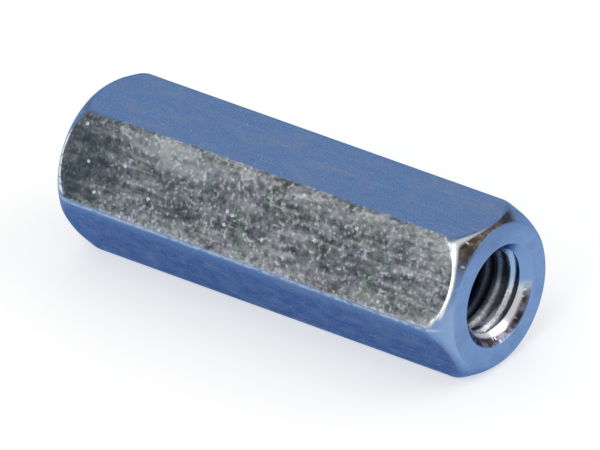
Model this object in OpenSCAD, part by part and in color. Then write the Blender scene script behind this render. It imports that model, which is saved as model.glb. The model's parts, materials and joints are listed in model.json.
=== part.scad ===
// Coupling nut: a length of hexagon bar, threaded right through, that joins two studs end to end.
// It is one piece. Each end is chamfered on the outside and countersunk at the bore.
// The nut lies on one flat. X runs along the bore, Z is up, and the origin is the middle of the bore.
// The bore is drawn at its tapping size, which is the smooth cylinder left inside the thread crests.

/* [Bar] */
// Width across the flats, which is the spanner size
flats_w = 13; // [12:0.5:24]
// Length from one end face to the other
bar_len = 40; // [16:1:90]
// Radius of the six long corners
corner_r = 0.9; // [0.3:0.1:2]

/* [End chamfers] */
// Distance from a flat in to the edge of the end face
face_inset = 0.5; // [0.2:0.1:1]
// Chamfer angle, measured from the end face
chamfer_angle = 43; // [20:1:55]
// Radius that breaks the edge between the end face and the chamfer
face_edge_r = 0.4; // [0.1:0.05:0.6]

/* [Thread] */
// Nominal thread diameter
thread_d = 8; // [5:0.5:9]
// Distance from one thread crest to the next
thread_pitch = 1.25; // [0.5:0.05:1.5]
// How far the tapping drill is over the basic minor diameter
drill_allowance = 0.15; // [0:0.01:0.25]

/* [Countersinks] */
// How far the countersink's mouth reaches outside the nominal thread, all round
sink_lip = 0.35; // [0.1:0.05:0.6]
// Included angle of the countersink
sink_angle = 90; // [60:5:120]

/* [Hidden] */

zinc_blue = [0.42, 0.52, 0.68];
round_fn = 96;

half_w = flats_w / 2;
half_len = bar_len / 2;

// Cones and cuts run this far past the faces that they open.
overrun = 1;

// The corner discs' centres lie this far from the axis, so that the discs just reach the flats.
// Each disc is a hair over size, so that it crosses its flats in a clean line.
corner_centre = (half_w - corner_r) / cos(30);
arc_lap = 0.0005;

// The chamfer is a cone that leaves the end face at face_r and runs out past the corners.
face_r = half_w - face_inset;
blank_r = corner_centre + corner_r + overrun;
cone_depth = (blank_r - face_r) * tan(chamfer_angle);

// The edge arc is tangent to the end face and to the cone, this far from where they would meet.
edge_setback = face_edge_r * tan(chamfer_angle / 2);

// A 60 degree metric thread's minor diameter is this many pitches under its nominal one.
minor_pitches = 1.0825;
bore_r = (thread_d - minor_pitches * thread_pitch + drill_allowance) / 2;
sink_r = thread_d / 2 + sink_lip;
sink_depth = (sink_r - bore_r) / tan(sink_angle / 2);

// Section of the bar, with one flat facing up. A disc rounds each corner of the polygon.
module bar_section() {
    polygon([for (corner = [0 : 60 : 300], turn = [-30, 30])
        corner_centre * [cos(corner), sin(corner)]
        + corner_r * [cos(corner + turn), sin(corner + turn)]]);
    for (corner = [0 : 60 : 300])
        rotate(corner)
            translate([corner_centre, 0])
                circle(r = corner_r + arc_lap, $fn = round_fn);
}

// Half of the turned outline: radius across, distance along the axis upwards, from mid-length up.
module turned_half() {
    polygon([
        [0, 0],
        [blank_r, 0],
        [blank_r, half_len - cone_depth],
        [face_r + edge_setback * cos(chamfer_angle), half_len - edge_setback * sin(chamfer_angle)],
        [face_r - edge_setback, half_len],
        [0, half_len]
    ]);
    translate([face_r - edge_setback, half_len - face_edge_r])
        circle(r = face_edge_r, $fn = round_fn);
}

// What the lathe leaves: a round blank with a cone at each end.
module turned_blank() {
    rotate_extrude($fn = round_fn) {
        turned_half();
        mirror([0, 1])
            turned_half();
    }
}

// The tapping bore, and a countersink that ends on the bore's wall at each mouth.
module bore() {
    cylinder(h = bar_len + 2 * overrun, r = bore_r, center = true, $fn = round_fn);
    for (end = [0, 1])
        mirror([0, 0, end])
            translate([0, 0, half_len - sink_depth])
                cylinder(
                    h = sink_depth + overrun,
                    r1 = bore_r,
                    r2 = sink_r + overrun * tan(sink_angle / 2),
                    $fn = round_fn
                );
}

module coupling_nut() {
    color(zinc_blue)
        rotate([90, 0, 90])
            difference() {
                intersection() {
                    linear_extrude(height = bar_len, center = true)
                        bar_section();
                    turned_blank();
                }
                bore();
            }
}

coupling_nut();
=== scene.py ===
# %% [markdown]
# # A coupling nut
#
# A coupling nut is a long hexagon nut that joins two studs end to end. This one is M8, and it is
# 40 mm long. It is cut from drawn hexagon bar, turned at both ends, tapped right through, zinc
# plated, and then knocked about in a parts bin. The lesson makes it in the same order: the bar,
# the turned ends, the thread, and last the finish.
#
# The solid model comes first, because it fixes where everything is. The nut lies along X on one
# of its flats, and the origin is the middle of its bore.

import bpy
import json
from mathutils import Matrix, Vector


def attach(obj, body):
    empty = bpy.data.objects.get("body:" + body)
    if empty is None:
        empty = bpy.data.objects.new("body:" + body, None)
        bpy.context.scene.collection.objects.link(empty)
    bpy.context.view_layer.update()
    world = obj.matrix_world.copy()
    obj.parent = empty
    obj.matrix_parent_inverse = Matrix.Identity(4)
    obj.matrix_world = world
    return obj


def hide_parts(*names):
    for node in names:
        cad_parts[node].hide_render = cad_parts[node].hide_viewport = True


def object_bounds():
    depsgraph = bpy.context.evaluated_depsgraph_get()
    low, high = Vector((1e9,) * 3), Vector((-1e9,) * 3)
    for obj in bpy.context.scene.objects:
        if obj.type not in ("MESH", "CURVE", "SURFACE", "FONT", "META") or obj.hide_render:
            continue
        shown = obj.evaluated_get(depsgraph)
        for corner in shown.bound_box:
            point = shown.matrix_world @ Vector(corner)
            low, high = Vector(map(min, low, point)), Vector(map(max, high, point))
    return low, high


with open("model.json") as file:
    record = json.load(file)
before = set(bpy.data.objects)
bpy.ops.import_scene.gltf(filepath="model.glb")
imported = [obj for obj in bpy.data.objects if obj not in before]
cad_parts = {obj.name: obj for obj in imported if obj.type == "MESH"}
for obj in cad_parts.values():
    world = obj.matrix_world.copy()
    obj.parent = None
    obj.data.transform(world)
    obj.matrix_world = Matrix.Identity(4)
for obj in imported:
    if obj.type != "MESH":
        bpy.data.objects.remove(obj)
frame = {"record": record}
solid_low, solid_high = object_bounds()
print("the solid measures", [round((high - low) * 1000, 2) for low, high in zip(solid_low, solid_high)], "mm")

# %% [markdown]
# ## Sizes
#
# Blender works in metres, so mm turns a size in millimetres into metres. The solid's own box
# gives the width across the flats, the length and the reach of the corners. The radius of the
# corners follows from those, because a rounder corner reaches less far. The record of the solid
# gives the bore and how long its plain wall is, and from that comes the countersink.

# %% Sizes from the solid
import json
import math

import bmesh
import bpy
from mathutils import Matrix, Vector

mm = 0.001
sector = math.radians(60)
half_sector = math.radians(30)

half_len = solid_high[0]
half_flats = solid_high[2]
corner_reach = solid_high[1]
sharp_reach = half_flats / math.cos(half_sector)
corner_r = (sharp_reach - corner_reach) / (1 / math.cos(half_sector) - 1)
corner_centre = corner_reach - corner_r

thread_mount = next(m for m in frame["record"]["mounts"] if m["name"] == "thread_right")
crest_r = thread_mount["dims"]["r_mm"] * mm
sink_depth = half_len - thread_mount["dims"]["length_mm"] * mm / 2
sink_angle = math.radians(90)
mouth_r = crest_r + sink_depth * math.tan(sink_angle / 2)
radii = {"corner": corner_r, "thread crest": crest_r, "countersink mouth": mouth_r}
print("radii in mm:", {name: round(r / mm, 2) for name, r in radii.items()})

# %% [markdown]
# ## The section of the bar
#
# Hexagon bar is drawn through a die, which leaves six flats with a small radius at each corner.
# A circle with six sides would have sharp corners, and a bevel would have to find them again. One
# sixth of the outline is enough: a single vertex is spun about the corner's centre to make the
# arc, and spun again with no turn and a step to make the flat, because a spin with a step and no
# angle is a row of extrusions. Six turned copies, welded where they meet, close the outline.

# %% Draw the section
arc_steps = 8
flat_steps = 24
weld = 0.002 * mm
bore_axis = Vector((1, 0, 0))
flat_heading = math.radians(120)


def bar_section():
    """The outline of the bar in the YZ plane at x = 0, as a closed ring of edges."""
    bm = bmesh.new()
    centre = Vector((0, corner_centre, 0))
    to_arc_start = Matrix.Rotation(-half_sector, 3, bore_axis)
    start = bm.verts.new(centre + to_arc_start @ Vector((0, corner_r, 0)))
    arc = bmesh.ops.spin(bm, geom=[start], cent=centre, axis=bore_axis, angle=sector, steps=arc_steps)
    last = [v for v in arc["geom_last"] if isinstance(v, bmesh.types.BMVert)]
    flat_dir = Matrix.Rotation(flat_heading, 3, bore_axis) @ Vector((0, 1, 0))
    flat_len = 2 * corner_centre * math.sin(half_sector)
    step = flat_dir * flat_len / flat_steps
    bmesh.ops.spin(bm, geom=last, cent=centre, axis=bore_axis, dvec=step, angle=0, steps=flat_steps)
    piece = bm.verts[:] + bm.edges[:]
    full_turn = math.radians(360)
    bmesh.ops.spin(
        bm, geom=piece, cent=(0, 0, 0), axis=bore_axis, angle=full_turn, steps=6, use_duplicate=True
    )
    bmesh.ops.remove_doubles(bm, verts=bm.verts[:], dist=weld)
    return bm


section = bar_section()
print(len(section.verts), "points round the section")
section.free()

# %% [markdown]
# ## What the lathe does to the bar
#
# A lathe turns a cone on each end of the bar. Where the cone meets a flat the edge is a curve,
# low in the middle of the flat and high at its corners, and plating and handling leave that edge
# soft. A sharp boolean cut would have to be bevelled along a curve, so instead each ring of the
# bar is turned down by arithmetic: its points keep their direction from the axis, and their
# distance becomes the smaller of the bar's reach and the lathe's radius. A smooth minimum, which
# blends the two near the place where they cross, gives the soft edge in the same step. The
# corners take the most knocks, so the blend is wider there.

# %% Reach of the bar and of the lathe
flat_blend = 0.35 * mm
corner_blend = 1.1 * mm
corner_focus = 4
arc_end_y = corner_centre + corner_r * math.cos(half_sector)
arc_half_angle = math.atan2(corner_r * math.sin(half_sector), arc_end_y)


def bar_reach(y, z):
    """How far the bar reaches from its axis in the direction of y and z."""
    turn = (math.atan2(z, y) + half_sector) % sector - half_sector
    if abs(turn) < arc_half_angle:
        side = corner_centre * math.sin(turn)
        return corner_centre * math.cos(turn) + math.sqrt(corner_r**2 - side**2)
    return half_flats / math.cos(half_sector - abs(turn))


def blend_width(y, z):
    """How wide the soft edge is in the direction of y and z."""
    nearness = (math.cos(6 * math.atan2(z, y)) / 2 + 0.5) ** corner_focus
    return flat_blend + (corner_blend - flat_blend) * nearness


def crease_share(y, z, turned):
    """0 on the bar's own surface, 1 on the turned surface, and in between at the soft edge."""
    return min(max(0.5 + 0.5 * (bar_reach(y, z) - turned) / blend_width(y, z), 0), 1)


def worn_reach(y, z, turned):
    """The smaller of the bar's reach and the lathe's radius, blended where they are nearly equal."""
    share = crease_share(y, z, turned)
    return bar_reach(y, z) * (1 - share) + turned * share - blend_width(y, z) * share * (1 - share)


print(f"a corner reaches {bar_reach(1, 0) / mm:.2f} mm and a flat {bar_reach(0, 1) / mm:.2f} mm")

# %% [markdown]
# ## The outline of a turned end
#
# The lathe's outline runs in along the chamfer, over a small radius, across the end face, over
# the edge of the countersink and down its cone. It could be drawn as a curve and sampled, but
# arcs and straight lines are exact as formulas. Each station on it is a distance along the bore
# and a radius. The stations lie close together where the surface curves. The last one lies just
# inside the thread's crests, so that the tap cuts it away.

# %% Stations along the outline
face_inset = 0.5 * mm
face_r = half_flats - face_inset
chamfer_angle = math.radians(43)
face_edge_r = 0.4 * mm
mouth_edge_r = 0.1 * mm
pit_r = crest_r - 0.3 * mm
cone_steps = 32
edge_steps = 6
mouth_steps = 4


def cone_stations(setback):
    """Stations along the chamfer, from outside the bar's corners to the radius at its foot."""
    cone_from = corner_reach + corner_blend
    cone_to = face_r + setback * math.cos(chamfer_angle)
    radii = [cone_from + (cone_to - cone_from) * i / cone_steps for i in range(cone_steps + 1)]
    return [(half_len - (r - face_r) * math.tan(chamfer_angle), r) for r in radii]


def turned_outline():
    """Stations (x, radius) from beside the chamfer to the bottom of the countersink."""
    setback = face_edge_r * math.tan(chamfer_angle / 2)
    stations = cone_stations(setback)
    for i in range(1, edge_steps + 1):
        lean = chamfer_angle * (1 - i / edge_steps)
        drop = face_edge_r * (1 - math.cos(lean))
        stations.append((half_len - drop, face_r - setback + face_edge_r * math.sin(lean)))
    sink_slope = math.pi / 2 - sink_angle / 2
    mouth_setback = mouth_edge_r * math.tan(sink_slope / 2)
    for i in range(mouth_steps + 1):
        lean = sink_slope * i / mouth_steps
        drop = mouth_edge_r * (1 - math.cos(lean))
        stations.append((half_len - drop, mouth_r + mouth_setback - mouth_edge_r * math.sin(lean)))
    stations.append((half_len - (mouth_r - pit_r) / math.tan(sink_angle / 2), pit_r))
    return stations


outline = turned_outline()
print(len(outline), "stations, ending at a radius of", round(outline[-1][1] / mm, 2), "mm")

# %% [markdown]
# ## Extrude the bar and turn its ends
#
# The section is extruded once for each station, and the new ring is moved to where the lathe
# leaves it. The last ring is closed by one face, which the tap will cut away. The other half of
# the nut is a mirror image, and the normals are then made to face outwards.

# %% Turn one ring down
def extrude_to(bm, ring, x, turned):
    """Extrude a ring of edges to a station, and return the new ring."""
    grown = bmesh.ops.extrude_edge_only(bm, edges=ring)["geom"]
    for v in grown:
        if isinstance(v, bmesh.types.BMVert):
            y, z = v.co.yz
            scale = worn_reach(y, z, turned) / math.hypot(y, z)
            v.co = (x, y * scale, z * scale)
    return [e for e in grown if isinstance(e, bmesh.types.BMEdge) and e.is_boundary]


def turned_bar():
    """The bar with both ends turned and countersunk, as a closed shell with no bore."""
    bm = bar_section()
    ring = bm.edges[:]
    for x, turned in outline:
        ring = extrude_to(bm, ring, x, turned)
    bmesh.ops.contextual_create(bm, geom=ring)
    everything = bm.verts[:] + bm.edges[:] + bm.faces[:]
    bmesh.ops.mirror(bm, geom=everything, merge_dist=weld, axis="X")
    bmesh.ops.recalc_face_normals(bm, faces=bm.faces[:])
    return bm


bar = turned_bar()
print("turned bar:", len(bar.faces), "faces,", sum(not e.is_manifold for e in bar.edges), "open edges")

# %% Put the bar in the scene
def to_object(bm, name):
    """A new object in the scene from a bmesh, which is freed."""
    mesh = bpy.data.meshes.new(name)
    bm.to_mesh(mesh)
    bm.free()
    made = bpy.data.objects.new(name, mesh)
    bpy.context.collection.objects.link(made)
    return made


nut = to_object(bar, "nut_body")
print("in the scene:", nut.name, "with", len(nut.data.vertices), "points")

# %% [markdown]
# ## The thread
#
# A tap cuts the thread, so the thread is modelled as the tap: a screw with the thread's shape,
# which is then subtracted from the bar. Its profile over one pitch is a flat for the crest, a
# flank that leans 30 degrees, a narrow flat for the root, and the other flank. A short slope
# breaks each edge of the crest.

# %% Profile of the thread
thread_d = 8 * mm
pitch = 1.25 * mm
flank_lean = math.radians(30)
crest_break = 0.11 * mm


def thread_profile():
    """One pitch of the tap's outline, as (x, radius)."""
    root_r = thread_d / 2
    flank = (root_r - crest_r) * math.tan(flank_lean)
    root_flat = pitch / 8
    crest_flat = pitch - root_flat - 2 * flank
    break_x = crest_break * math.sin(flank_lean)
    break_r = crest_break * math.cos(flank_lean)
    return [
        (0, crest_r),
        (crest_flat - crest_break, crest_r),
        (crest_flat + break_x, crest_r + break_r),
        (crest_flat + flank, root_r),
        (crest_flat + flank + root_flat, root_r),
        (pitch - break_x, crest_r + break_r),
        (pitch, crest_r),
    ]


print("thread depth", round((thread_d / 2 - crest_r) / mm, 3), "mm")

# %% [markdown]
# ## The tap
#
# Spinning the profile once round with a step along the axis makes one turn of the helix. Copies
# of that turn, one pitch apart, meet end to end and are welded. Turning counter-clockwise as it
# goes along +X makes the thread right-handed. A Screw modifier could make the same helix, but it
# would leave the ends open, and a boolean wants a closed tool.

# %% Make the tap
steps_per_turn = 60
spare_turns = 2
thread_start = 0.6 * mm


def close_end(bm, side, tip_x):
    """Close one end of the tap by a fan from its open edges to a point on the axis."""
    rim = [e for e in bm.edges if e.is_boundary and e.verts[0].co.x * side > 0]
    grown = bmesh.ops.extrude_edge_only(bm, edges=rim)["geom"]
    tips = [v for v in grown if isinstance(v, bmesh.types.BMVert)]
    bmesh.ops.pointmerge(bm, verts=tips, merge_co=(side * tip_x, 0, 0))


def tap():
    """A screw that reaches past both ends of the nut, closed at each end."""
    bm = bmesh.new()
    turns = math.ceil(2 * half_len / pitch) + 2 * spare_turns
    start_x = thread_start - turns * pitch / 2
    points = [bm.verts.new((start_x + x, r, 0)) for x, r in thread_profile()]
    edges = [bm.edges.new(pair) for pair in zip(points, points[1:])]
    about = {"cent": (0, 0, 0), "axis": bore_axis}
    lead = bore_axis * pitch
    step = lead / steps_per_turn
    full_turn = math.radians(360)
    bmesh.ops.spin(bm, geom=points + edges, dvec=step, angle=full_turn, steps=steps_per_turn, **about)
    turn = bm.verts[:] + bm.edges[:] + bm.faces[:]
    bmesh.ops.spin(bm, geom=turn, dvec=lead, angle=0, steps=turns - 1, use_duplicate=True, **about)
    bmesh.ops.remove_doubles(bm, verts=bm.verts[:], dist=weld)
    for side in (-1, 1):
        close_end(bm, side, (turns / 2 + 1) * pitch)
    bmesh.ops.recalc_face_normals(bm, faces=bm.faces[:])
    return bm


cutter = to_object(tap(), "tap")
print("tap:", len(cutter.data.polygons), "faces")

# %% [markdown]
# ## Tap the bar
#
# The cut is a Boolean modifier, applied at once so that the nut keeps a plain mesh. Both meshes
# are closed, so the manifold solver can be used. It is quick, and it leaves a closed result.

# %% Cut the thread
def subtract(target, tool):
    """Cut one object out of another for good, and remove the tool."""
    modifier = target.modifiers.new("cut", "BOOLEAN")
    modifier.operation = "DIFFERENCE"
    modifier.solver = "MANIFOLD"
    modifier.object = tool
    graph = bpy.context.evaluated_depsgraph_get()
    result = bpy.data.meshes.new_from_object(target.evaluated_get(graph))
    target.modifiers.remove(modifier)
    target.data = result
    bpy.data.objects.remove(tool)


subtract(nut, cutter)
print("threaded:", len(nut.data.vertices), "points,", len(nut.data.polygons), "faces")

# %% [markdown]
# ## Tidy the cut mesh
#
# A boolean leaves a few points almost on top of each other where the thread runs out into the
# countersink. They are dissolved, everything is shaded smooth, and only edges that turn sharply,
# such as the flanks of the thread, are marked to stay crisp.

# %% Clean and mark sharp edges
sharp_turn = math.radians(35)
speck = 0.0005 * mm

shell = bmesh.new()
shell.from_mesh(nut.data)
bmesh.ops.dissolve_degenerate(shell, dist=speck, edges=shell.edges[:])
for face in shell.faces:
    face.smooth = True
for edge in shell.edges:
    edge.smooth = edge.calc_face_angle(0) < sharp_turn
sharp_edges = sum(not e.smooth for e in shell.edges)
open_edges = sum(not e.is_manifold for e in shell.edges)
print(sharp_edges, "sharp edges,", open_edges, "open ones")

# %% [markdown]
# ## A map that follows the bar
#
# Scuffs and nicks lie in the surface, so they need two coordinates that run along it: the
# distance along the bar, and the distance round its section. Both are stored in a UV map, in
# millimetres, so that a pattern's scale is its real size. On the end faces the map is simply the
# Y and Z of the point. The seam is at the corner at +Y, where the distance round starts again.
#
# A second, named attribute marks the soft edge where the chamfer meets the flats, because that
# is where the plating rubs through first.

# %% Distance round the section
sector_len = corner_r * sector + 2 * corner_centre * math.sin(half_sector)


def round_section(y, z):
    """Distance round the section to the direction of y and z, from the middle of the corner at +Y."""
    angle = math.atan2(z, y) % math.radians(360)
    corner = round(angle / sector)
    turn = angle - corner * sector
    if abs(turn) < arc_half_angle:
        reach = bar_reach(y, z)
        past = corner_r * math.atan2(reach * math.sin(turn), reach * math.cos(turn) - corner_centre)
    else:
        to_middle = half_flats * math.tan(half_sector - abs(turn))
        past = math.copysign(sector_len / 2 - to_middle, turn)
    return corner * sector_len + past


print("each sixth of the section is", round(sector_len / mm, 2), "mm round")

# %% Write the map and the turned attribute
end_face_lean = 0.9


def mark_surface(bm):
    """Write the UV map, and how far each point belongs to the turned ends."""
    surface_map = bm.loops.layers.uv.new("surface")
    turned_layer = bm.verts.layers.float.new("turned")
    for v in bm.verts:
        x, y, z = v.co
        turned = face_r + (half_len - abs(x)) / math.tan(chamfer_angle)
        v[turned_layer] = crease_share(y, z, turned)
    for face in bm.faces:
        if abs(face.normal.x) > end_face_lean:
            for loop in face.loops:
                loop[surface_map].uv = loop.vert.co.yz / mm
            continue
        rounds = [round_section(*loop.vert.co.yz) for loop in face.loops]
        crosses_seam = max(rounds) - min(rounds) > 3 * sector_len
        for loop, distance in zip(face.loops, rounds):
            if crosses_seam and distance < 3 * sector_len:
                distance += 6 * sector_len
            loop[surface_map].uv = (loop.vert.co.x / mm, distance / mm)


mark_surface(shell)
shell.to_mesh(nut.data)
shell.free()
nut.data.materials.clear()
print("maps on the nut:", [layer.name for layer in nut.data.uv_layers])

# %% [markdown]
# ## Camera
#
# The camera stands well back with a very long lens, so the nut's long edges stay nearly
# parallel. It looks down on the near end from the right, and is rolled by a few degrees. A Track
# To constraint would aim it too, but would allow no roll, so its rotation is worked out here.

# %% Place the camera
view_azimuth = math.radians(39.32)
view_elevation = math.radians(31.19)
view_roll = math.radians(-3.26)
view_distance = 1553 * mm
view_lens = 1167
film_width = 36
near_clip = 0.1
far_clip = 10
view_aim = Vector((-0.02, -0.045, -0.036)) * mm


def look(azimuth, elevation, roll):
    """Rotation of a camera that looks along +Y at azimuth 0, and down by the elevation."""
    level_share = math.cos(elevation)
    forward = Vector(
        (-math.sin(azimuth) * level_share, math.cos(azimuth) * level_share, -math.sin(elevation))
    )
    level = Vector((math.cos(azimuth), math.sin(azimuth), 0))
    right = Matrix.Rotation(-roll, 3, forward) @ level
    up = right.cross(forward)
    return Matrix((right, up, -forward)).transposed()


turned_view = look(view_azimuth, view_elevation, view_roll)
camera = bpy.data.objects.new("camera", bpy.data.cameras.new("camera"))
camera.data.lens = view_lens
camera.data.sensor_width = film_width
camera.data.clip_start = near_clip
camera.data.clip_end = far_clip
camera_at = view_aim + turned_view @ Vector((0, 0, view_distance))
camera.matrix_world = Matrix.Translation(camera_at) @ turned_view.to_4x4()
bpy.context.collection.objects.link(camera)
bpy.context.scene.camera = camera
print("camera at", [round(c, 3) for c in camera_at])

# %% [markdown]
# ## Wiring materials as arithmetic
#
# A material's pattern is arithmetic on coordinates, so this small class lets a socket be used as
# a number in a Python expression. Each operator adds a Math node. Everything else, such as a
# noise or a shader, comes from one method, which sets the node's settings before its sockets.

# %% Sockets that can be added and multiplied
class Wire:
    """A socket of a shader tree that works as a number in a sum, and that adds nodes to its tree."""

    def __init__(self, tree, socket=None):
        self.tree = tree
        self.socket = socket

    def node(self, kind, settings, sockets, output=0):
        """Add a node: first its settings, then the values or links of its sockets."""
        made = self.tree.nodes.new("ShaderNode" + kind)
        for name, value in settings.items():
            setattr(made, name, value)
        for name, value in sockets.items():
            if isinstance(value, Wire):
                self.tree.links.new(value.socket, made.inputs[name])
            else:
                made.inputs[name].default_value = value
        return Wire(self.tree, made.outputs[output] if made.outputs else None)

    def other(self, output):
        """Another output of the same node."""
        return Wire(self.tree, self.socket.node.outputs[output])

    def math(self, operation, *values):
        """A Math node on these values."""
        return self.node("Math", {"operation": operation}, dict(enumerate(values)))

    def __add__(self, value):
        return self.math("ADD", self, value)

    def __radd__(self, value):
        return self.math("ADD", value, self)

    def __sub__(self, value):
        return self.math("SUBTRACT", self, value)

    def __rsub__(self, value):
        return self.math("SUBTRACT", value, self)

    def __mul__(self, value):
        return self.math("MULTIPLY", self, value)

    def __rmul__(self, value):
        return self.math("MULTIPLY", value, self)

    def __abs__(self):
        return self.math("ABSOLUTE", self)

    def ramp(self, start, end):
        """0 at start and 1 at end, smooth between them and level beyond. start may be the larger."""
        sockets = {"Value": self, "From Min": start, "From Max": end}
        return self.node("MapRange", {"interpolation_type": "SMOOTHSTEP"}, sockets)

    def blend(self, first, second):
        """A colour: the first where this value is 0, and the second where it is 1."""
        return self.node("Mix", {"data_type": "RGBA"}, {0: self, 6: first, 7: second}, 2)


print("a Wire adds", [name for name in vars(Wire) if name in ("node", "math", "ramp", "blend")])

# %% Colours and new materials
def colour(red, green, blue):
    """A colour from 0 to 255, as a screen shows it, as the linear values that a shader takes."""
    shares = [c / 255 for c in (red, green, blue)]
    return (*[c / 12.92 if c < 0.04 else ((c + 0.055) / 1.055) ** 2.4 for c in shares], 1)


def grey_level(level):
    """A plain grey in linear values."""
    return (level, level, level, 1)


def new_material(name):
    """An empty material, and a Wire on its tree that has no socket yet."""
    made = bpy.data.materials.new(name)
    made.use_nodes = True
    made.node_tree.nodes.clear()
    return made, Wire(made.node_tree)


print("white is", colour(255, 255, 255), "and middle grey", [round(c, 2) for c in colour(128, 128, 128)])

# %% [markdown]
# ## Floor
#
# The nut lies on a plain pale floor. To cameras and reflections the floor also glows a little,
# so that it is white where nothing shades it, and the nut's shadow still falls on it. More light
# would whiten it too, but would wash out the nut.

# %% Lay the floor
floor_size = 1.6
floor_paint = 0.6
floor_glow = 0.5

ground = bmesh.new()
bmesh.ops.create_grid(ground, x_segments=4, y_segments=4, size=floor_size / 2)
bmesh.ops.translate(ground, verts=ground.verts[:], vec=(0, 0, solid_low[2]))
floor = to_object(ground, "floor")

floor_look, floor_wire = new_material("pale_floor")
path = floor_wire.node("LightPath", {}, {}, "Is Camera Ray")
seen = path + path.other("Is Glossy Ray") + path.other("Is Transmission Ray")
painted = floor_wire.node("BsdfDiffuse", {}, {"Color": grey_level(floor_paint)})
glow = floor_wire.node("Emission", {}, {"Strength": seen * floor_glow})
both = floor_wire.node("AddShader", {}, {0: painted, 1: glow})
floor_wire.node("OutputMaterial", {}, {"Surface": both})
floor.data.materials.append(floor_look)
print("floor at z =", round(solid_low[2] / mm, 2), "mm")

# %% [markdown]
# ## Light
#
# A neutral world lights the nut from all round. Metal shows little but what it mirrors, so the
# lamps are large soft boxes. The key box stands above and in front, and gives the light its
# direction. Each of the others stands where one surface mirrors it to the camera: the top flat,
# the rubbed edge of the near end, and the lower side of the countersink. A lamp's brightness is
# given as what a mirror would show, so its power follows from its size.

# %% World and soft boxes
world_level = 0.6

world = bpy.data.worlds.new("studio")
world.use_nodes = True
world.node_tree.nodes["Background"].inputs["Color"].default_value = grey_level(world_level)
bpy.context.scene.world = world
bpy.context.scene.view_settings.view_transform = "Standard"


def soft_box(name, direction, distance, width, height, brightness):
    """A lamp that faces the origin. Its brightness is 1 where a mirror would show it as white."""
    data = bpy.data.lights.new(name, "AREA")
    data.shape = "RECTANGLE"
    data.size = width
    data.size_y = height
    data.energy = brightness * math.pi * width * height
    made = bpy.data.objects.new(name, data)
    toward = Vector(direction).normalized()
    facing = toward.to_track_quat("Z", "Y").to_matrix().to_4x4()
    made.matrix_world = Matrix.Translation(toward * distance) @ facing
    bpy.context.collection.objects.link(made)
    return made


boxes = [
    soft_box("key", (0.1, -0.5, 0.86), 0.6, 0.35, 0.35, 1.6),
    soft_box("back", (-0.54, 0.67, 0.51), 0.6, 0.5, 0.4, 0.4),
    soft_box("crease_strip", (0.24, -0.89, 0.39), 0.5, 0.12, 0.2, 4),
    soft_box("mouth_box", (0.6, 0.5, 0.6), 0.6, 0.4, 0.3, 1.6),
]
print("soft boxes:", {box.name: f"{box.data.energy:.2f} W" for box in boxes})

# %% [markdown]
# ## Places on the nut
#
# Bright zinc plating is dipped in a clear chromate that leaves a faint blue cast. The deep satin blue on the
# drawn flats and the paler blue on the turned ends are painted reflections of blue surroundings, and one flat
# is painted grey as a reflection of dark surroundings. A painted mask could say where each finish is, but it
# would be tied to one unwrapping.
# Here each place is worked out from distances in millimetres instead.
#
# u is the distance along the bar and v the distance round it. The corners of the bar are a sixth of the way
# round apart: the top flat lies between the first and second sixth, the grey one between the second and
# third, and the flat under it between the third and fourth. x, y and z are the place in space, and from them
# come the distances from the axis and from the nearer end.

# %% Distances on the surface
zinc_look, zinc = new_material("blue_zinc")
sixth = sector_len / mm

place = zinc.node("UVMap", {"uv_map": "surface"}, {})
u = zinc.node("SeparateXYZ", {}, {0: place})
v = u.other("Y")
turned = zinc.node("Attribute", {"attribute_name": "turned"}, {}, "Fac")

in_metres = zinc.node("TexCoord", {}, {}, "Object")
spot = zinc.node("VectorMath", {"operation": "SCALE"}, {0: in_metres, 3: 1 / mm})
x = zinc.node("SeparateXYZ", {}, {0: spot})
y = x.other("Y")
z = x.other("Z")
across_axis = zinc.node("VectorMath", {"operation": "MULTIPLY"}, {0: spot, 1: (0, 1, 1)})
from_axis = zinc.node("VectorMath", {"operation": "LENGTH"}, {0: across_axis}, "Value")
from_end = half_len / mm - abs(x)


def progress(step):
    """Say how many nodes the zinc has after a step."""
    print(step + ":", len(zinc_look.node_tree.nodes), "nodes so far")


progress("distances")

# %% [markdown]
# ## Marks and noise
#
# Loose nuts that are tumbled together nick and scratch each other. Each mark here is drawn by
# arithmetic in one cell of a Voronoi pattern: the distance from the cell's own point is turned by
# the cell's own random angle, bent a little, and faded out beside the line and past its ends. It
# works on the map in millimetres, so each mark is as long and as wide as it says. Modelled
# scratches would need millions of faces.

# %% A layer of scratches
def marks(spacing, reach, width, share, bend=0.6):
    """Bent scratches on the map, at most one in each cell, in this share of the cells.

    spacing is the size of a cell, and reach and width are half a scratch's length and width, all
    in millimetres. bend is how far a scratch's ends curve, as a share of its reach.
    """
    cells = {"voronoi_dimensions": "2D", "feature": "F1"}
    own_point = zinc.node("TexVoronoi", cells, {"Vector": place, "Scale": 1 / spacing}, "Position")
    luck = zinc.node("SeparateXYZ", {}, {0: own_point.other("Color")})
    offset = zinc.node("VectorMath", {"operation": "SUBTRACT"}, {0: place, 1: own_point})
    own_turn = {"Vector": offset, "Angle": luck * (2 * math.pi)}
    spun = zinc.node("VectorRotate", {"rotation_type": "Z_AXIS"}, own_turn)
    along = zinc.node("SeparateXYZ", {}, {0: spun})
    own_bend = (luck.other("Y") - 0.5) * (2 * bend / reach)
    across = along.other("Y") - own_bend * along * along
    line = abs(across).ramp(width, width * 0.4) * abs(along).ramp(reach, reach * 0.6)
    return line * luck.other("Z").ramp(1 - share, 1 - share * 0.6)


nicks = marks(spacing=1.7, reach=0.3, width=0.06, share=0.4)
progress("nicks")

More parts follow.
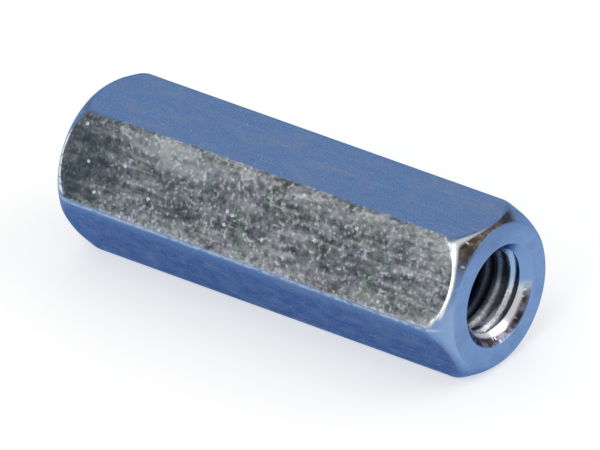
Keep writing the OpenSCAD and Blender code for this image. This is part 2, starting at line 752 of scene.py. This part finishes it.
# %% Noise and patches
def noise(where, scale, detail, stretch=1):
    """Soft noise from about 0 to 1, with this many features to a millimetre, drawn out along the bar."""
    moved = zinc.node("Mapping", {}, {"Vector": where, "Scale": (1 / stretch, 1, 1)})
    sockets = {"Vector": moved, "Scale": scale, "Detail": detail, "Roughness": 0.6}
    return zinc.node("TexNoise", {"noise_dimensions": "2D"}, sockets)


def patch(first, second, at, size):
    """A soft oval patch on two distances: 1 in its middle, 0 outside. at and size are in millimetres."""
    from_first = (first - at[0]) * (1 / size[0])
    from_second = (second - at[1]) * (1 / size[1])
    return (from_first * from_first + from_second * from_second).ramp(1, 0)


def coats(under, layers):
    """Colours laid over one another. Each layer is a share from 0 to 1, and its colour."""
    for share, paint in layers:
        under = share.blend(under, paint)
    return under


grain = noise(place, 7, 2)
edge_wander = (noise(place, 1.4, 3) - 0.5) * 0.7
progress("grain")

# %% [markdown]
# ## Where each finish is
#
# Each place is a mask, 1 inside and 0 outside, made from ramps on the distances. The borders of the grey
# flat, where a dark reflection is painted, wander a little.

# %% Masks
mouth = mouth_r / mm

near_side = u.ramp(-1, 1)
far_side = 1 - near_side
on_bar = turned.ramp(0.9, 0.5)
low_flat = v.ramp(3.02 * sixth, 3.12 * sixth) * v.ramp(3.98 * sixth, 3.9 * sixth)
hole = from_axis.ramp(mouth + 0.1, mouth)
low_side = z.ramp(-0.4, -2)
progress("masks")

# %% Place of the flat painted grey as a dark reflection
dark_end = u.ramp(-12, -17.6)
top_border = (v + edge_wander - dark_end * 0.25).ramp(1.94 * sixth, 1.98 * sixth)
low_border = (v + edge_wander * 0.3).ramp(2.99 * sixth, 2.96 * sixth)
short_of_cone = near_side * turned.ramp(0.5, 0.2) + far_side * turned.ramp(0.5, 0.4)
# Here the flat is painted grey, as a painted reflection of dark surroundings.
grey_reflection_flat = top_border * low_border * short_of_cone
progress("grey flat's place")

# %% [markdown]
# ## Blue plating, painted as reflections
#
# The blue of each face is a painted reflection: deep on the drawn flats, and paler on the turned ends. The
# flat below the grey one is darker, as painted shade, and a painted highlight pales it towards the edge
# between them. Each colour is one coat over the last, so the list can be read from the bottom coat to the top
# one. A tree of Mix nodes would say the same, but is harder to read.

# %% Blue of each face
# Painted light: each blue stands in for what its face mirrors, the darker blue of the low flat is painted
# shade, and the paler edge blue is a painted highlight.
drawn_reflection_blue = colour(95, 126, 174)
shaded_blue = colour(48, 79, 142)
edge_highlight_blue = colour(100, 140, 194)
far_blue = colour(60, 90, 150)
turned_reflection_blue = colour(122, 155, 202)

low_edge_highlight = low_flat * v.ramp(3.28 * sixth, 3.04 * sixth)
low_far_end = low_flat * u.ramp(-8, -18)

blue = coats(
    drawn_reflection_blue,
    [
        (low_flat, shaded_blue),
        (low_edge_highlight * 0.85, edge_highlight_blue),
        (low_far_end * 0.5, far_blue),
        (turned, turned_reflection_blue),
    ],
)
progress("blue of each face")

# %% [markdown]
# ## Clouds and grain in the blue
#
# The chromate film's thickness is uneven, so its tint wanders between violet and green. Broad and
# small clouds of both tints, streaks along the direction of drawing and a fine grain are laid
# over the blue. They are weaker on the turned ends, which were cut after the bar was drawn. The
# three outputs of a noise's colour are unlike one another, so one noise gives two sets of clouds.

# %% Clouds of tint
broad_violet = colour(120, 132, 170)
broad_green = colour(98, 138, 172)
haze = colour(126, 138, 162)
small_violet = colour(124, 134, 168)
small_green = colour(78, 122, 168)

clouds = noise(place, 0.5, 3, 2.5)
tint = zinc.node("SeparateXYZ", {}, {0: noise(place, 0.55, 2).other("Color")})
mottle = zinc.node("SeparateXYZ", {}, {0: noise(place, 1.8, 3, 2).other("Color")})
on_flats = 0.5 - turned * 0.35

blue = coats(
    blue,
    [
        (tint.ramp(0.5, 0.75) * 0.45, broad_violet),
        (tint.other("Y").ramp(0.5, 0.75) * 0.5, broad_green),
        (clouds.ramp(0.48, 0.7) * (0.6 - turned * 0.3 - low_flat * 0.3), haze),
        (mottle.ramp(0.46, 0.76) * on_flats, small_violet),
        (mottle.other("Y").ramp(0.46, 0.76) * on_flats, small_green),
    ],
)
progress("clouds")

# %% Streaks, grain and nicks
streak_blue = colour(134, 152, 180)
light_grain = colour(130, 152, 190)
dark_grain = colour(70, 98, 152)
# The lower side of the cone is painted paler, as a painted highlight, and the top of each end face is painted
# darker, as painted shade.
low_cone_highlight_blue = colour(150, 178, 214)
high_face_shade_blue = colour(96, 122, 168)
nick_blue = colour(180, 192, 210)

streaks = noise(place, 3, 2, 30)
low_cone_highlight = turned * v.ramp(2.4 * sixth, 2.8 * sixth) * v.ramp(3.9 * sixth, 3.4 * sixth)
high_face_shade = z.ramp(3.5, 5.5) * from_end.ramp(0.2, 0.1)

blue = coats(
    blue,
    [
        (streaks.ramp(0.5, 0.8) * (1 - turned) * 0.32, streak_blue),
        (grain.ramp(0.4, 0.66) * 0.55, light_grain),
        (grain.ramp(0.5, 0.34) * (0.2 - turned * 0.15), dark_grain),
        (low_cone_highlight * 0.5, low_cone_highlight_blue),
        (high_face_shade * 0.5, high_face_shade_blue),
        (nicks * 0.35, nick_blue),
    ],
)
progress("streaks, grain and nicks")

# %% [markdown]
# ## Rubbed corners and painted highlights
#
# Corners are what a nut rolls and slides on, so they are rubbed nearly white in stretches. Each rounded
# corner is also a little paler all along, as a painted highlight. The distance to the nearest corner makes
# the band, and a slow noise along the bar breaks it into stretches. The corner under the grey flat has the
# brightest line, partly rubbed and partly a painted highlight along its rounding.

# %% Corners
corner_highlight_blue = colour(122, 158, 206)
rubbed_white = colour(190, 204, 222)
low_wear_and_highlight_white = colour(186, 204, 220)

corner_gap = v.math("PINGPONG", v, sixth / 2)
# A paler band along each rounded corner, as a painted highlight.
corner_highlight = corner_gap.ramp(0.6, 0.15) * on_bar
stretches = noise(place, 0.22, 4, 1.5).ramp(0.4, 0.62)
rub = (corner_gap + noise(place, 2, 2) * 0.3).ramp(0.34, 0.16) * stretches * on_bar
# The line along the corner under the grey flat is partly wear and partly a painted highlight.
from_low_corner = abs(v - 3.005 * sixth + edge_wander * 0.15)
low_line = from_low_corner.ramp(0.2, 0.06) * noise(place, 2.2, 4, 2).ramp(0.36, 0.58) * on_bar

blue = coats(
    blue,
    [
        (corner_highlight * (0.15 + low_flat * 0.3), corner_highlight_blue),
        (rub * (0.35 + low_flat * 0.35), rubbed_white),
        (low_line * 0.6, low_wear_and_highlight_white),
    ],
)
progress("corners")

# %% [markdown]
# ## The other flats
#
# The flats at the back and below have been handled too. They get dull scuffs, where two noises
# overlap, and a few long, nearly straight scratches from the same function as the nicks. On the
# end faces v is only a height, so a last mask keeps both off the faces.

# %% Scuffs and scratches
scuff_grey = colour(150, 158, 166)
scratch_grey = colour(196, 204, 214)

off_the_face = from_end.ramp(0.3, 0.5)
back_and_below = v.ramp(0.94 * sixth, 0.8 * sixth) + v.ramp(4.04 * sixth, 4.2 * sixth)
other_flats = back_and_below * on_bar * off_the_face
scuffs = noise(place, 0.16, 3, 1.6).ramp(0.53, 0.66) * noise(place, 2.2, 3, 2).ramp(0.42, 0.62)
scratches = marks(spacing=6, reach=2.6, width=0.05, share=0.5, bend=0.15)

blue = coats(
    blue,
    [
        (scuffs * other_flats * 0.6, scuff_grey),
        (scratches * other_flats * 0.4, scratch_grey),
    ],
)
progress("other flats")

# %% [markdown]
# ## Grey flat, a painted dark reflection
#
# This flat is painted grey as a reflection of dark surroundings, and it clouds from dark at the far end to
# pale at the near one. Its short scratches are real marks, painted bright on that dark ground as glints. One
# number, tone, holds how bright each place is. It starts from soft noise at several scales, then the patches
# that are darker or paler are added, then the flecks along the edges, and last the scratches. One number can
# feed both the colour and the bump, so that bright scratches also stand up a little.

# %% Soft tones of the grey flat's painted reflection
mean_tone = 0.26

flow = (noise(place, 1.1, 3, 3) - 0.5) * 0.8
pale_cloud = patch(u, v, (-8.5, 15.9), (5.5, 1.7))
salt = (noise(place, 1.9, 3) - 0.5) * (0.8 - pale_cloud * 0.4 - dark_end * 0.3)
mottles = (noise(place, 0.8, 2) - 0.5) * 0.25
drift = (noise(place, 0.3, 2, 1.5) - 0.5) * 0.4
dark_band = patch(u, v, (-5, 19.6), (7, 0.9))
dark_spot = patch(u, v, (12, 19.4), (2.6, 1.6))
pale_spot = patch(u, v, (17.8, 16.6), (2.4, 2.8))

tone = mean_tone + flow + salt + drift + mottles
tone = tone - dark_end * 0.15 + pale_cloud * 0.22 - dark_band * 0.04 - dark_spot * 0.08
tone = tone + pale_spot * 0.14
progress("soft tones")

# %% Flecks and rows
near_top = (v + edge_wander * 1.5).ramp(2.03 * sixth, 1.98 * sixth)
dark_line = near_top * noise(place, 0.5, 2, 2).ramp(0.5, 0.62)
top_edge = v.ramp(1.96 * sixth, 2.02 * sixth) * v.ramp(2.16 * sixth, 2.06 * sixth)
low_edge_of_grey = v.ramp(2.86 * sixth, 2.93 * sixth)
flecks = noise(place, 2.6, 3, 1.5).ramp(0.4, 0.75) * (top_edge + low_edge_of_grey)
pale_rows = (v.ramp(16.9, 16) + v.ramp(20.2, 21)) * u.ramp(-16, -11)
scrapes = noise(place, 1.5, 2, 16).ramp(0.56, 0.7) * noise(place, 0.4, 1, 2).ramp(0.4, 0.55)

tone = tone + pale_rows * 0.09 + u.ramp(2, 8) * 0.03 - dark_line * 0.2
tone = tone + flecks * 0.26 + scrapes * 0.22
progress("flecks and rows")

# %% Scratches on the grey flat, painted bright as glints
strokes = marks(spacing=0.7, reach=0.3, width=0.12, share=0.6)
hooks = marks(spacing=2, reach=0.5, width=0.12, share=0.35, bend=0.5)
specks = marks(spacing=0.5, reach=0.14, width=0.15, share=0.5)
glints = marks(spacing=2.4, reach=0.16, width=0.16, share=0.3)

busy = 1 - dark_end * 0.5
tone = tone + (strokes * 0.28 + hooks * 0.36 + specks * 0.34) * busy + glints * 1.1
progress("scratches")

# %% Greys of the grey flat's painted reflection
fleck_grey = colour(190, 182, 178)

level = tone.ramp(-0.1, 1.15)
mauve = level.blend(colour(75, 79, 88), colour(224, 229, 236))
moss = level.blend(colour(73, 84, 86), colour(216, 227, 226))
slate = level.blend(colour(70, 86, 104), colour(214, 226, 236))
mossy = noise(place, 0.45, 2).ramp(0.42, 0.62)

grey = coats(
    mauve,
    [
        (mossy + (1 - mossy) * dark_end * 0.6, moss),
        (u.ramp(2, -18) * 0.35, slate),
        (flecks * 0.4, fleck_grey),
    ],
)
progress("greys")

# %% [markdown]
# ## Dark wedge, a painted reflection
#
# On the near end, the cone is painted brown from the back of the top flat to just past the corner above the
# grey flat, as a reflection of dark surroundings. This painted reflection ends at the edge of the end face,
# and it has a few nicks of its own, painted bright as glints.

# %% Wedge
# These browns are a painted reflection of dark surroundings on the cone, and its nicks are painted bright as
# glints.
reflected_brown = colour(70, 64, 62)
reflected_mauve = colour(104, 100, 126)
reflected_smear_brown = colour(120, 114, 102)
reflected_black = colour(50, 54, 58)
nick_glint = colour(214, 214, 212)
face_edge = face_r / mm

smear = noise(place, 1.6, 2, 0.6)
wedge_top = (v + edge_wander * 0.6).ramp(1.02 * sixth, 1.2 * sixth)
wedge_end = v.ramp(2.4 * sixth, 2.15 * sixth)
on_cone = turned.ramp(0.44, 0.66) * from_axis.ramp(face_edge + 0.06, face_edge + 0.2)
wedge = on_cone * wedge_top * wedge_end * near_side
wedge_nicks = marks(spacing=0.8, reach=0.14, width=0.12, share=0.6)

brown = coats(
    reflected_brown,
    [
        ((v + edge_wander).ramp(2 * sixth, 2.3 * sixth), reflected_mauve),
        (smear.ramp(0.4, 0.75) * 0.8, reflected_smear_brown),
        (v.ramp(1.55 * sixth, 1.35 * sixth) * 0.7, reflected_black),
        (wedge_nicks * 0.9, nick_glint),
    ],
)
progress("wedge")

# %% [markdown]
# ## Countersink
#
# On its upper side the countersink is painted blue like the end face, as a painted reflection. On its lower
# side a bright crescent is painted as a highlight, with a dark blotched band outside it, and the crescent is
# wider towards +Y. The map is spaced for the outside of the bar and is squeezed here, so the blotches use Y
# and Z instead.

# %% Painted bright crescent and blotched band
mouth_reflection_blue = colour(120, 152, 196)
# The bright crescent is a painted highlight.
crescent_highlight = colour(240, 240, 242)
dark_blotch = colour(62, 56, 60)
pale_blotch = colour(132, 128, 146)
crest = crest_r / mm

blotches = noise(zinc.node("CombineXYZ", {}, {0: y, 1: z}), 1.3, 2)
crescent_reach = from_axis + (blotches - 0.5) * 0.16 - y.ramp(-2, 1) * 0.2
band_nicks = marks(spacing=0.9, reach=0.16, width=0.12, share=0.5)
blotched_band = coats(
    dark_blotch,
    [
        (blotches.ramp(0.35, 0.7), pale_blotch),
        (band_nicks * 0.9, colour(224, 226, 230)),
    ],
)
sink = coats(
    mouth_reflection_blue,
    [
        (low_side, crescent_highlight),
        (crescent_reach.ramp(crest + 0.16, crest + 0.38) * low_side, blotched_band),
        (from_axis.ramp(mouth - 0.11, mouth - 0.01), mouth_reflection_blue),
    ],
)
progress("countersink")

# %% [markdown]
# ## Threads
#
# Little light reaches the threads, so their colour is painted darker with depth, as painted shade. The first
# turns are painted bright below and blue above, as painted reflections, and duller on the side towards -Y. A
# patch on the lower side is painted brighter, as a painted highlight. The countersink's colours are laid on
# last, down to where its cone meets the thread.

# %% Wall of the bore
# In the bore the blue above and the bright below are painted reflections, the darker turns are painted shade,
# and the bright patch is a painted highlight.
upper_wall_reflection = colour(150, 178, 212)
lower_wall_highlight = colour(226, 228, 230)
second_turn_shade = colour(76, 86, 106)
deep_turn_shade = colour(70, 80, 100)
bright_patch_white = colour(232, 234, 236)
dull_wall = colour(96, 98, 104)
smear_grey = colour(60, 62, 70)
sink_foot = sink_depth / mm

bright_patch = patch(y, from_end, (0.9, 2.3), (1.4, 1.5)) * low_side * hole
wall = coats(
    upper_wall_reflection,
    [
        (low_side, lower_wall_highlight),
        (from_end.ramp(1.4, 3) * (1 - low_side * 0.7), second_turn_shade),
        (from_end.ramp(2.6, 4), deep_turn_shade),
        (bright_patch, bright_patch_white),
        (low_side * y.ramp(0.5, -0.9) * 0.75, dull_wall),
        (smear.ramp(0.55, 0.4) * from_end.ramp(1.2, 2) * 0.35, smear_grey),
        (from_end.ramp(sink_foot + 0.07, sink_foot - 0.05), sink),
    ],
)
progress("wall of the bore")

# %% [markdown]
# ## Bare edges and painted highlights
#
# The soft edge between cone and flat is rubbed to bare metal, and the line along it is also a painted
# highlight, white where the edge catches the light. The turned attribute runs from 0 to 1 across that edge,
# so a band of its values is a line that follows the curve. On the near end the line is whole, and thins
# towards the upper corner. On the far end it is broken into dashes.

# %% Line on the near edge
at_corner = v.ramp(2.25 * sixth, 2.05 * sixth)
full_line = turned.ramp(0.1, 0.3) * turned.ramp(0.75, 0.5)
thin_line = turned.ramp(0.3, 0.44) * turned.ramp(0.68, 0.52)
near_line = full_line + (thin_line - full_line) * at_corner
near_line = near_line * (1 - v.ramp(2.76 * sixth, 2.9 * sixth) * turned.ramp(0.2, 0.45))
near_edge = near_side * near_line * v.ramp(1.5 * sixth, 1.94 * sixth)
progress("near edge")

# %% Dashes on the far edge
ragged = turned + (noise(place, 1.8, 2) - 0.5) * 0.3
dashes = abs(noise(place, 0.9, 0) - 0.5).ramp(0.02, 0.06)
far_line = turned.ramp(0.34, 0.44) * ragged.ramp(0.92, 0.76)
far_edge = far_side * far_line * dashes * v.ramp(2.2 * sixth, 2.3 * sixth)

bare_edge_and_highlight = (near_edge + far_edge) * v.ramp(2.96 * sixth, 2.92 * sixth)
progress("far edge")

# %% [markdown]
# ## Put the zinc together
#
# The blue is laid down first, and the other colours over it by their masks. The tone of the grey flat, the
# grain, the nicks and the smeared threads also raise the surface a little, through one bump. The bare edge
# and the mouth of the bore are glossier than the plate. The deep threads and the painted bright patch on the
# lower side of the bore are less metallic, so that the patch shows as a soft diffuse light. The tint of the
# reflections is the same all over, so it is set straight on the shader.

# %% Colour and relief
# The white of the rubbed edge is partly bare metal and partly a painted highlight.
bare_and_highlight_white = colour(240, 242, 244)
bump_height = 0.02 * mm

base = coats(blue, [(grey_reflection_flat, grey), (wedge, brown), (bare_edge_and_highlight, bare_and_highlight_white), (hole, wall)])
scuffed = hole * from_end.ramp(1.1, 1.6)
height = tone * grey_reflection_flat + grain * 0.12 + nicks * 0.4 + scuffed * smear * 1.6
bump = zinc.node("Bump", {}, {"Height": height, "Distance": bump_height, "Strength": 1})
progress("colour and relief")

# %% Zinc shader
reflection_tint = colour(180, 198, 228)

deep = hole * from_end.ramp(1.5, 3) * (1 - bright_patch)
metallic = 1 - bright_patch * 0.7 - deep * 0.35
roughness = 0.38 - grey_reflection_flat * 0.06 - bare_edge_and_highlight * 0.15 - hole * from_end.ramp(4, 1) * 0.16
sockets = {"Base Color": base, "Metallic": metallic, "Roughness": roughness, "Normal": bump}
sockets["Specular Tint"] = reflection_tint
shader = zinc.node("BsdfPrincipled", {}, sockets)
zinc.node("OutputMaterial", {}, {"Surface": shader})
nut.data.materials.append(zinc_look)
progress("shader")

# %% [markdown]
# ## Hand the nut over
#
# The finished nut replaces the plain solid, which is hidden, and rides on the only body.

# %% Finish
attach(nut, "root")
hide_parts("coupling_nut")
